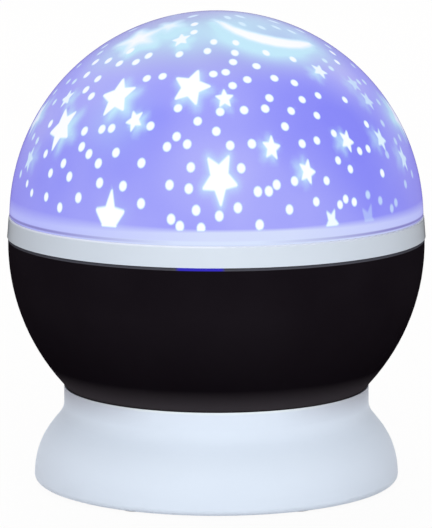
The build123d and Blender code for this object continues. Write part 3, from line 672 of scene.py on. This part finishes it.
# The dome's light: its colours, and where each begins and ends
GLOW_DEEP = (0.190, 0.194, 0.82)
GLOW_GROUND = (0.318, 0.326, 0.83)
GLOW_PALE = (0.440, 0.450, 0.83)
GLOW_TOP = (0.365, 0.415, 0.57)
# Painted shade at the dome's sides
GLOW_PAINTED_SIDE_SHADE = (0.215, 0.200, 0.78)
GLOW_CYAN = (0.540, 0.880, 0.87)
GLOW_FAINT = (0.615, 0.860, 0.90)
GLOW_STAR = (0.97, 0.99, 1.0)
GLOW_BAND = (0.605, 0.680, 0.84)
GLOW_BAND_SIDE = (0.445, 0.480, 0.89)
GLOW_FOOT = (0.640, 0.740, 0.86)
# A painted shadow at the seam with the collar
GLOW_SEAM_PAINTED_SHADOW = (0.210, 0.200, 0.48)
GLOW_SKIN = (0.08, 0.08, 0.16, 1)
GLOW_TINT = (0.965, 0.96, 0.975, 1)
GLOW_CLOUD_SCALE = 30.0
GLOW_CLOUD_WEIGHT = 1.4
TONE_REACH = 0.75
TOP_FADE_FAR, TOP_FADE_NEAR = 0.017, 0.002
TOP_SHARE = 0.8
EDGE_NEAR = 0.050
EDGE_SHARE = 0.7
CYAN_SHARE = 0.85
FAINT_SHARES = (0.0, 0.6)
BRIGHT_SHARES = (0.4, 1.0)
BAND_SOFT, BAND_SOFT_SIDE = 0.0005, 0.0018
BAND_X = 0.010
BAND_FOOT_RISE, BAND_FOOT_SOFT = 0.0014, 0.0002
SEAM_RISE = 0.0009
SEAM_HALF = 0.0002
SEAM_FADE = 0.0004
SEAM_NEAR, SEAM_FAR = 0.012, 0.052
FROST_SCALE = 1400.0
FROST_ROUGH = (0.26, 0.38)
FROST_STRENGTH = 0.03
FROST_SPECULAR = 0.003


def dome_ground(tree, height, aside):
    """Cloudy lavender light: greyer at the top, with painted shade at the sides, and cyan about the stars.
    """
    clouds = math_node(tree, "SUBTRACT", noise(tree, GLOW_CLOUD_SCALE, FINE_DETAIL), NOISE_MIDDLE)
    clouds = math_node(tree, "MULTIPLY", clouds, GLOW_CLOUD_WEIGHT)
    tone = math_node(tree, "ADD", clouds, value_of(tree, "tone"))
    ground = mixed(tree, spread(tree, tone, 1, 0, -TONE_REACH, 0), GLOW_GROUND, GLOW_DEEP)
    ground = mixed(tree, spread(tree, tone, 0, 1, 0, TONE_REACH), ground, GLOW_PALE)
    top = spread(tree, height, 0, TOP_SHARE, DOME_TOP - TOP_FADE_FAR, DOME_TOP - TOP_FADE_NEAR)
    ground = mixed(tree, top, ground, GLOW_TOP)
    # Painted shade towards the dome's left and right sides
    ground = mixed(tree, spread(tree, aside, 0, EDGE_SHARE, EDGE_NEAR, DOME_RADIUS), ground, GLOW_PAINTED_SIDE_SHADE)
    return mixed(tree, spread(tree, value_of(tree, "glow"), 0, CYAN_SHARE), ground, GLOW_CYAN)


def dome_foot(tree, ground, height, aside):
    """The paler band where the collar's upstand stands behind the dome, and a painted shadow line at the
    seam in it.
    """
    off_band = distance_from(tree, place_of(tree, "X"), BAND_X)
    outward = spread(tree, off_band, 0, 1, SEAM_NEAR, DOME_RADIUS)
    softness = spread(tree, outward, BAND_SOFT, BAND_SOFT_SIDE)
    rise = math_node(tree, "DIVIDE", math_node(tree, "SUBTRACT", height, SPIGOT_TOP), softness)
    band = mixed(tree, outward, GLOW_BAND, GLOW_BAND_SIDE)
    ground = mixed(tree, spread(tree, rise, 1, 0, -1, 1), ground, band)
    foot = COLLAR_TOP + BAND_FOOT_RISE
    low = spread(tree, height, 1, 0, foot - BAND_FOOT_SOFT, foot + BAND_FOOT_SOFT)
    ground = mixed(tree, math_node(tree, "MULTIPLY", low, spread(tree, outward, 1, 0)), ground, GLOW_FOOT)
    # A painted shadow along the seam above the collar, stronger towards the sides
    off_seam = distance_from(tree, height, COLLAR_TOP + SEAM_RISE)
    seam_shadow = spread(tree, off_seam, 1, 0, SEAM_HALF, SEAM_HALF + SEAM_FADE)
    seam_shadow = math_node(tree, "MULTIPLY", seam_shadow, spread(tree, aside, 0, 1, SEAM_NEAR, SEAM_FAR))
    return mixed(tree, seam_shadow, ground, GLOW_SEAM_PAINTED_SHADOW)


def dome_glow():
    """Frosted plastic lit from inside: cloudy lavender light, bright stars and a paler band at the foot."""
    material, tree, shader = new_material("dome_glow")
    height = place_of(tree, "Z")
    aside = distance_from(tree, place_of(tree, "X"), 0)
    ground = dome_foot(tree, dome_ground(tree, height, aside), height, aside)
    share = value_of(tree, "light")
    light = mixed(tree, spread(tree, share, 0, 1, *FAINT_SHARES), ground, GLOW_FAINT)
    light = mixed(tree, spread(tree, share, 0, 1, *BRIGHT_SHARES), light, GLOW_STAR)
    shine(tree, shader, light)
    shader.inputs["Base Color"].default_value = GLOW_SKIN
    frost = noise(tree, FROST_SCALE, FINE_DETAIL)
    tree.links.new(spread(tree, frost, *FROST_ROUGH, *GRAIN_SPAN), shader.inputs["Roughness"])
    shader.inputs["Specular IOR Level"].default_value = FROST_SPECULAR
    tinted_skin(shader, GLOW_TINT)
    roughen(tree, shader, frost, FROST_STRENGTH, FINE_DEPTH)
    return material


FILM_INK = (0.030, 0.030, 0.26)
FILM_INK_PALE = (0.055, 0.060, 0.36)
FILM_WINDOW = (0.86, 0.93, 1.0)
FILM_SKIN = (0.03, 0.03, 0.14, 1)
FILM_CLOUD_SCALE = 45.0
FILM_GRAIN_SCALE = 1100.0
FILM_GRAIN_STRENGTH = 0.04
FILM_ROUGH = (0.3, 0.45)


def film_print():
    """Thin printed film: dark blue ink with clear windows that the lamp shines through."""
    material, tree, shader = new_material("film_print")
    clouds = spread(tree, noise(tree, FILM_CLOUD_SCALE), 0, 1, *CLOUD_SPAN)
    ground = mixed(tree, clouds, FILM_INK, FILM_INK_PALE)
    shine(tree, shader, mixed(tree, value_of(tree, "light"), ground, FILM_WINDOW))
    shader.inputs["Base Color"].default_value = FILM_SKIN
    grain = noise(tree, FILM_GRAIN_SCALE, FINE_DETAIL)
    tree.links.new(spread(tree, grain, *FILM_ROUGH, *GRAIN_SPAN), shader.inputs["Roughness"])
    roughen(tree, shader, grain, FILM_GRAIN_STRENGTH, FINE_DEPTH)
    return material


NO_LIGHT = (0, 0, 0)
BLACK = (0.0076, 0.0057, 0.0082)
BLACK_SHADE = (0.0098, 0.0077, 0.0106)
# Painted shade, darker towards the foot
BLACK_PAINTED_SHADE = (0.0040, 0.0030, 0.0044)
# A painted reflection of the base, paler grey at the foot
FOOT_PAINTED_REFLECTION = (0.047, 0.041, 0.047)
# A painted highlight on the upper bevel
EDGE_PAINTED_HIGHLIGHT = (0.085, 0.085, 0.105)
LEAK_LIGHT = (0.034, 0.026, 0.50)
PAINTED_SHADE_FADE = 0.030
FOOT_FADE = 0.0075
EDGE_FADE_SHARE = 0.25
LEAK_X = -0.0047
LEAK_NEAR, LEAK_FAR = 0.0061, 0.0073
LEAK_FRONT = -0.04


def bowl_black():
    """Dark plastic: painted shade below, painted reflection at foot and painted highlight at upper edge; a
    little light in the front seam.
    """
    material = moulded(
        "bowl_black", BLACK, BLACK_SHADE,
        rough=(0.40, 0.55), grain_scale=700.0, grain=0.06, specular=0.0)
    tree, shader, colour = opened(material)
    height = place_of(tree, "Z")
    # Painted shade: darker towards the foot
    painted_shade = spread(tree, height, 1, 0, BASE_RIM, BASE_RIM + PAINTED_SHADE_FADE)
    colour = mixed(tree, painted_shade, colour, BLACK_PAINTED_SHADE)
    # Painted reflection of the base: a paler grey at the foot
    foot = spread(tree, height, 1, 0, BASE_RIM, BASE_RIM + FOOT_FADE)
    colour = mixed(tree, foot, colour, FOOT_PAINTED_REFLECTION)
    # Painted highlight on the upper bevel, except where the front seam's light shows
    edge_height = BOWL_TOP - BOWL_BEVEL
    edge = spread(tree, height, 0, 1, edge_height - EDGE_FADE_SHARE * BOWL_BEVEL, edge_height)
    aside = distance_from(tree, place_of(tree, "X"), LEAK_X)
    front = spread(tree, place_of(tree, "Y"), 1, 0, LEAK_FRONT, 0)
    leak = math_node(tree, "MULTIPLY", front, spread(tree, aside, 1, 0, LEAK_NEAR, LEAK_FAR))
    colour = mixed(tree, edge, colour, mixed(tree, leak, EDGE_PAINTED_HIGHLIGHT, BLACK))
    tree.links.new(colour, shader.inputs["Base Color"])
    shine(tree, shader, mixed(tree, math_node(tree, "MULTIPLY", edge, leak), NO_LIGHT, LEAK_LIGHT))
    return material


WHITE = (0.77, 0.86, 0.985)
WHITE_SHADE = (0.755, 0.845, 0.97)
# A painted highlight along the upper rim
RIM_PAINTED_HIGHLIGHT = (0.85, 0.935, 1.0)
RIM_HEIGHT = 0.0008
NECK_SHADE = (0.47, 0.50, 0.58)
NECK_NEAR, NECK_FAR = 0.018, 0.045
NECK_DEPTH = 0.006


def base_white():
    """White plastic: a painted highlight along the upper rim, and painted shade under the bowl at both
    sides of the neck.
    """
    material = moulded(
        "white_gloss", WHITE, WHITE_SHADE,
        rough=(0.46, 0.56), grain_scale=1100.0, grain=0.02, specular=0.08)
    tree, shader, colour = opened(material)
    height = place_of(tree, "Z")
    # Painted highlight along the upper rim
    rim = spread(tree, height, 0, 1, BASE_RIM - RIM_HEIGHT, BASE_RIM - RIM_HEIGHT / 2)
    colour = mixed(tree, rim, colour, RIM_PAINTED_HIGHLIGHT)
    aside = spread(tree, distance_from(tree, place_of(tree, "X"), 0), 0, 1, NECK_NEAR, NECK_FAR)
    under = spread(tree, height, 0, 1, BASE_RIM - NECK_DEPTH, BASE_RIM)
    colour = mixed(tree, math_node(tree, "MULTIPLY", aside, under), colour, NECK_SHADE)
    tree.links.new(colour, shader.inputs["Base Color"])
    return material


RING = (0.708, 0.790, 0.893)
RING_SHADE = (0.688, 0.770, 0.873)
# A painted highlight and a faint painted glow on the ring's upper edge
RING_EDGE_PAINTED_HIGHLIGHT = (0.86, 0.89, 0.97)
RING_EDGE_PAINTED_GLOW = (0.09, 0.10, 0.14)
RING_EDGE_HEIGHT = 0.0007
RING_TINT = (0.915, 0.915, 0.915, 1)


def ring_white():
    """A cooler white plastic, with a painted highlight and a faint painted glow on the ring's upper edge.
    """
    material = moulded(
        "ring_white", RING, RING_SHADE,
        rough=(0.36, 0.46), grain_scale=1100.0, grain=0.02, specular=0.3)
    tree, shader, colour = opened(material)
    # Painted highlight and faint painted glow along the upper edge
    off_edge = distance_from(tree, place_of(tree, "Z"), COLLAR_TOP)
    edge = spread(tree, off_edge, 1, 0, 0, RING_EDGE_HEIGHT)
    tree.links.new(mixed(tree, edge, colour, RING_EDGE_PAINTED_HIGHLIGHT), shader.inputs["Base Color"])
    shine(tree, shader, mixed(tree, edge, NO_LIGHT, RING_EDGE_PAINTED_GLOW))
    tinted_skin(shader, RING_TINT)
    return material


CELL_END = (0.60, 0.60, 0.60)
CELL_BLUE = (0.06, 0.11, 0.34)
CELL_SILVER = (0.62, 0.64, 0.68)
# The sleeve's bands: the share of the length where each begins, and its colour
CELL_SHARES = (
    (0.0, CELL_END), (0.05, CELL_BLUE), (0.32, CELL_SILVER), (0.36, CELL_BLUE), (0.64, CELL_SILVER),
    (0.68, CELL_BLUE), (0.95, CELL_END),
)
CELL_WEAR_SCALE = 260.0
CELL_WEAR_SHARE = 0.25
CELL_GLOSS_SCALE = 500.0
CELL_ROUGH = (0.2, 0.34)
CELL_METALLIC = 0.55


def cell_sleeve():
    """The cells' printed sleeves: bands of colour along their length, a little worn."""
    material, tree, shader = new_material("cell_sleeve")
    low, high = (corner.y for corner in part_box("battery_cells"))
    ramp = put(tree, "ShaderNodeValToRGB", {"Fac": spread(tree, place_of(tree, "Y"), 0, 1, low, high)})
    bands = ramp.color_ramp
    bands.interpolation = "CONSTANT"
    for share, _ in CELL_SHARES[1:]:
        bands.elements.new(share)
    for element, (share, colour) in zip(bands.elements, CELL_SHARES):
        element.position, element.color = share, (*colour, 1)
    wear = spread(tree, noise(tree, CELL_WEAR_SCALE), 0, CELL_WEAR_SHARE)
    tree.links.new(mixed(tree, wear, ramp.outputs["Color"], CELL_END), shader.inputs["Base Color"])
    tree.links.new(spread(tree, noise(tree, CELL_GLOSS_SCALE), *CELL_ROUGH), shader.inputs["Roughness"])
    shader.inputs["Metallic"].default_value = CELL_METALLIC
    return material


TRACKS = {
    "Scale": 420.0, "Mortar Size": 0.012, "Bias": -0.4,
    "Color1": (0, 0, 0, 1), "Color2": (0.15, 0.15, 0.15, 1), "Mortar": (1, 1, 1, 1),
}
TRACK_SHARE = 0.8
TRACK_STRENGTH = 0.2
BOARD_GLOSS_SCALE = 300.0
BOARD_ROUGH = (0.3, 0.45)


def circuit(name, mask, copper):
    """A circuit board: solder mask with rows of copper tracks showing through it."""
    material, tree, shader = new_material(name)
    tracks = put(tree, "ShaderNodeTexBrick", {"Vector": object_place(tree), **TRACKS}).outputs["Color"]
    tone = mixed(tree, spread(tree, tracks, 0, TRACK_SHARE), mask, copper)
    tree.links.new(tone, shader.inputs["Base Color"])
    tree.links.new(spread(tree, noise(tree, BOARD_GLOSS_SCALE), *BOARD_ROUGH), shader.inputs["Roughness"])
    roughen(tree, shader, tracks, TRACK_STRENGTH, FINE_DEPTH)
    return material


LENS_LIGHT = 0.6


def lens(name, colour, shade, light):
    """Tinted clear epoxy of a lamp, with a soft glow."""
    material = moulded(
        name, colour, shade,
        rough=(0.05, 0.12), grain_scale=800.0, grain=0.01, specular=0.6, coat=0.5)
    shader = material.node_tree.nodes["Principled BSDF"]
    shader.inputs["Emission Color"].default_value = (*light, 1)
    shader.inputs["Emission Strength"].default_value = LENS_LIGHT
    return material


# Plain mouldings: colour, shade, roughness from and to, scale and strength of the grain
PLASTICS = {
    "plate_white": ((0.70, 0.74, 0.80), (0.66, 0.70, 0.77), (0.45, 0.6), 1500.0, 0.35),
    "button_white": ((0.76, 0.79, 0.85), (0.72, 0.75, 0.82), (0.22, 0.3), 1000.0, 0.03),
    "inlet_black": ((0.018, 0.018, 0.02), (0.03, 0.03, 0.032), (0.35, 0.5), 900.0, 0.2),
    "foot_rubber": ((0.62, 0.62, 0.63), (0.55, 0.55, 0.57), (0.55, 0.7), 1600.0, 0.4),
    "chip_black": ((0.016, 0.016, 0.018), (0.028, 0.028, 0.03), (0.4, 0.55), 1300.0, 0.2),
    "column_white": ((0.74, 0.76, 0.79), (0.70, 0.72, 0.76), (0.4, 0.5), 1000.0, 0.1),
    "gear_nylon": ((0.80, 0.77, 0.68), (0.74, 0.71, 0.62), (0.4, 0.5), 900.0, 0.08),
    "slip_white": ((0.86, 0.86, 0.84), (0.80, 0.80, 0.78), (0.3, 0.4), 900.0, 0.05),
    "wire_red": ((0.48, 0.03, 0.03), (0.40, 0.02, 0.02), (0.35, 0.5), 1200.0, 0.1),
    "wire_grey": ((0.28, 0.28, 0.30), (0.22, 0.22, 0.24), (0.35, 0.5), 1200.0, 0.1),
}
# Metals: colour, shade, roughness from and to, and how their streaks are drawn out
METALS = {
    "screw_steel": ((0.62, 0.62, 0.64), (0.45, 0.45, 0.47), (0.22, 0.4)),
    "nickel": ((0.70, 0.67, 0.62), (0.58, 0.56, 0.52), (0.18, 0.32), (1, 8, 1)),
    "motor_steel": ((0.52, 0.52, 0.54), (0.40, 0.40, 0.42), (0.28, 0.45), (1, 1, 0.08)),
}
# Circuit boards: solder mask and tracks
BOARDS = {
    "board_green": ((0.02, 0.16, 0.06), (0.05, 0.30, 0.11)),
    "board_white": ((0.80, 0.81, 0.81), (0.62, 0.63, 0.62)),
}
# Lamps: colour, shade and light
LENSES = {
    "led_clear": ((0.78, 0.82, 0.9), (0.7, 0.75, 0.86), (0.8, 0.88, 1.0)),
    "led_colour": ((0.30, 0.34, 0.9), (0.25, 0.28, 0.8), (0.2, 0.22, 0.9)),
}
MATERIALS = {
    "dome_glow": dome_glow(),
    "film_print": film_print(),
    "white_gloss": base_white(),
    "ring_white": ring_white(),
    "bowl_black": bowl_black(),
    "cell_sleeve": cell_sleeve(),
}
for make, looks in ((moulded, PLASTICS), (metal, METALS), (circuit, BOARDS), (lens, LENSES)):
    MATERIALS.update({name: make(name, *look) for name, look in looks.items()})


def dress(piece, slot):
    piece.data.materials.clear()
    piece.data.materials.append(MATERIALS[slot])


# Every carried-over node takes the material of its slot in the record, and the ring a white of its own
for entry in frame["record"]["subparts"]:
    dress(nodes[entry["node"]], entry["material_slot"])
dress(nodes["collar_ring"], "ring_white")

# The lit shells
cover = lit_shell(
    "lit_cover", DOME_CENTRE, DOME_RADIUS, COVER_WALL, COLLAR_TOP, COVER_BEVEL, COVER_SOFT, SPIGOT_TOP)
dress(cover, "dome_glow")
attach(cover, "cover")
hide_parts("cover_dome")

film = lit_shell("lit_film", FILM_CENTRE, FILM_RADIUS, FILM_WALL, FILM_BOTTOM, 0, FILM_SOFT, 0)
dress(film, "film_print")
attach(film, "ball")
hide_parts("star_film")


# Stage, light and camera
FLOOR_RADIUS = 6.0
FLOOR_SIDES = 96
FLOOR_DROP = 0.00005
FLOOR_WHITE_SHARE = 0.95
FLOOR_COLOUR = (0.86, 0.83, 0.81, 1)
FLOOR_ROUGH = 0.9
WORLD_LIGHT = 0.36
WORLD_COLOUR = (1.0, 0.95, 0.95)
SEEN_WHITE = (1, 1, 1)
# Each lamp: name, place, width, power in watts, colour
LAMPS = (
    ("key", (0.1, -1.4, 0.8), 1.8, 17.3, (0.97, 1.0, 1.0)),
    ("top", (-0.2, 0.3, 1.4), 1.2, 7.0, (1, 1, 1)),
    ("back", (0, 1.5, 0.9), 1.2, 8.0, (1, 1, 1)),
)
LAMP_AIM = Vector((0, 0, 0.07))


def seen_share(tree, share):
    """The share where a surface is seen directly or in gloss or glass, and none elsewhere."""
    path = put(tree, "ShaderNodeLightPath").outputs
    seen = math_node(tree, "MAXIMUM", path["Is Camera Ray"], path["Is Glossy Ray"])
    seen = math_node(tree, "MAXIMUM", seen, path["Is Transmission Ray"])
    return math_node(tree, "MULTIPLY", seen, share)


def make_floor():
    """A wide round floor that is seen as white and keeps a little of the object's shadow."""
    turns = [2 * math.pi * i / FLOOR_SIDES for i in range(FLOOR_SIDES)]
    points = [(FLOOR_RADIUS * math.cos(t), FLOOR_RADIUS * math.sin(t), -FLOOR_DROP) for t in turns]
    floor = add_object("floor", points, [tuple(range(FLOOR_SIDES))])
    material, tree, shader = new_material("floor_white")
    shader.inputs["Base Color"].default_value = FLOOR_COLOUR
    shader.inputs["Roughness"].default_value = FLOOR_ROUGH
    shader.inputs["Specular IOR Level"].default_value = 0.0
    glow = put(tree, "ShaderNodeEmission", {"Color": (*SEEN_WHITE, 1), "Strength": 1.0})
    mix = put(tree, "ShaderNodeMixShader", {"Fac": seen_share(tree, FLOOR_WHITE_SHARE)})
    tree.links.new(shader.outputs["BSDF"], mix.inputs[1])
    tree.links.new(glow.outputs["Emission"], mix.inputs[2])
    tree.links.new(mix.outputs["Shader"], tree.nodes["Material Output"].inputs["Surface"])
    floor.data.materials.append(material)


def make_world():
    """Soft light from all round, seen as white."""
    world = bpy.data.worlds.new("studio")
    bpy.context.scene.world = world
    world.use_nodes = True
    tree = world.node_tree
    seen = seen_share(tree, 1.0)
    background = tree.nodes["Background"]
    tree.links.new(mixed(tree, seen, WORLD_COLOUR, SEEN_WHITE), background.inputs["Color"])
    tree.links.new(spread(tree, seen, WORLD_LIGHT, 1.0), background.inputs["Strength"])


def add_lamp(name, place, width, power, colour):
    data = bpy.data.lights.new(name, "AREA")
    data.shape = "DISK"
    data.size, data.energy, data.color = width, power, colour
    lamp = bpy.data.objects.new(name, data)
    lamp.location = place
    lamp.rotation_euler = (LAMP_AIM - Vector(place)).to_track_quat("-Z", "Y").to_euler()
    bpy.context.scene.collection.objects.link(lamp)


def make_camera():
    """The camera at the photograph's place and angle."""
    data = bpy.data.cameras.new("camera")
    data.sensor_fit = "VERTICAL"
    data.sensor_height = SENSOR
    data.lens = FOCAL_PIXELS * SENSOR / PHOTO_HEIGHT
    camera = bpy.data.objects.new("camera", data)
    camera.location = CAMERA_PLACE
    camera.rotation_euler = (math.pi / 2 - CAMERA_PITCH, 0, 0)
    bpy.context.scene.collection.objects.link(camera)
    bpy.context.scene.camera = camera


make_floor()
make_world()
for lamp in LAMPS:
    add_lamp(*lamp)
make_camera()
bpy.context.scene.view_settings.view_transform = "Standard"
